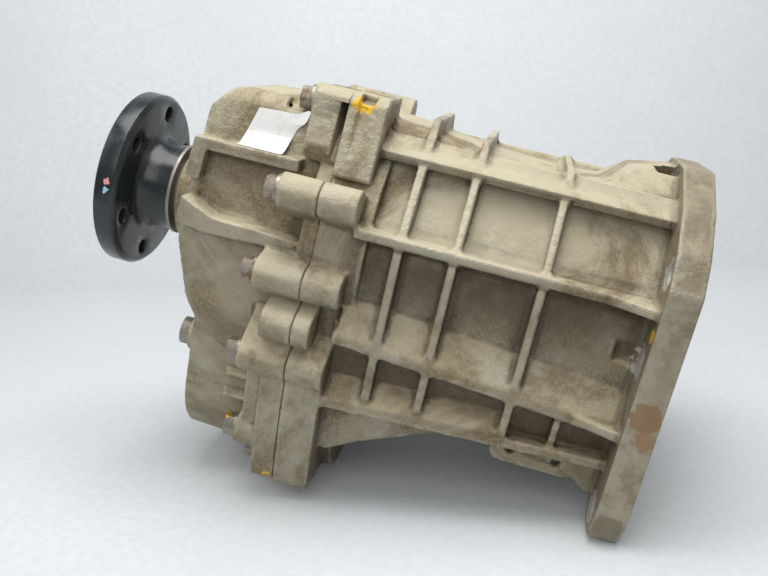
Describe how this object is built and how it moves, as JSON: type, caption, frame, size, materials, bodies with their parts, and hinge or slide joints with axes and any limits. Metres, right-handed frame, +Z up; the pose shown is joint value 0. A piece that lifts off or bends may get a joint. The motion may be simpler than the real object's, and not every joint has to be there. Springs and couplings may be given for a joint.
{
  "type": "transfer case",
  "caption": "Aluminium chain-driven transfer case with a ribbed tunnel to the gearbox, a black companion flange at the rear, a lower front output and a clutch on its main shaft.",
  "frame": {"origin": "centre of the gearbox mating face on the main shaft's axis, midway between its two dowel holes", "axes": "+X forwards out of the gearbox mating face along the main shaft, +Z up, the pictured flank faces -Y"},
  "size_m": [0.36, 0.2, 0.2589],
  "materials": {
    "cast_aluminium": "dusty sand cast",
    "black_flange": "gloss black",
    "bolt_steel": "dull, lightly rusted",
    "bright_steel": "ground",
    "seal_rubber": "matt",
    "friction_lining": "matt"
  },
  "bodies": {
    "housing": {"front_case": "cast_aluminium", "rear_case": "cast_aluminium", "case_bolts": "bolt_steel", "dowel_pins": "bright_steel", "filler_plug": "bolt_steel", "drain_plug": "bolt_steel", "rear_seal": "seal_rubber", "input_seal": "seal_rubber", "front_output_seal": "seal_rubber", "rear_bearing_outer": "bright_steel", "front_bearing_outer": "bright_steel", "clutch_coil": "bolt_steel", "lower_rear_bearing_outer": "bright_steel", "lower_front_bearing_outer": "bright_steel", "chain": "bolt_steel"},
    "main": {"output_flange": "black_flange", "flange_nut": "bright_steel", "flange_washer": "bright_steel", "dust_shield": "bolt_steel", "main_shaft": "bright_steel", "snap_ring": "bright_steel", "rear_bearing_inner": "bright_steel", "rear_bearing_balls": "bright_steel", "front_bearing_inner": "bright_steel", "front_bearing_balls": "bright_steel", "pressure_cam": "bright_steel", "cam_balls": "bright_steel", "clutch_hub": "bright_steel", "friction_discs": "friction_lining", "pilot_cam": "bright_steel"},
    "drum": {"clutch_drum": "bright_steel", "steel_plates": "bright_steel", "drive_sprocket": "bright_steel", "needle_rollers": "bright_steel"},
    "front_output": {"front_output_shaft": "bright_steel", "driven_sprocket": "bright_steel", "lower_rear_bearing_inner": "bright_steel", "lower_rear_bearing_rollers": "bright_steel", "lower_front_bearing_inner": "bright_steel", "lower_front_bearing_rollers": "bright_steel"}
  },
  "joints": [
    {"name": "main_spin", "type": "hinge", "parent": "housing", "child": "main", "pos_m": [-0.36, 0, 0], "axis": [1, 0, 0], "continuous": true},
    {"name": "drum_spin", "type": "hinge", "parent": "housing", "child": "drum", "pos_m": [-0.211, 0, 0], "axis": [1, 0, 0], "continuous": true, "deforming": ["chain"]},
    {"name": "front_output_spin", "type": "hinge", "parent": "housing", "child": "front_output", "pos_m": [-0.165, 0.00497, -0.10942], "axis": [1, 0, 0], "continuous": true}
  ],
  "couplings": [
    {"joint": "front_output_spin", "follows": "drum_spin", "ratio": 1}
  ]
}
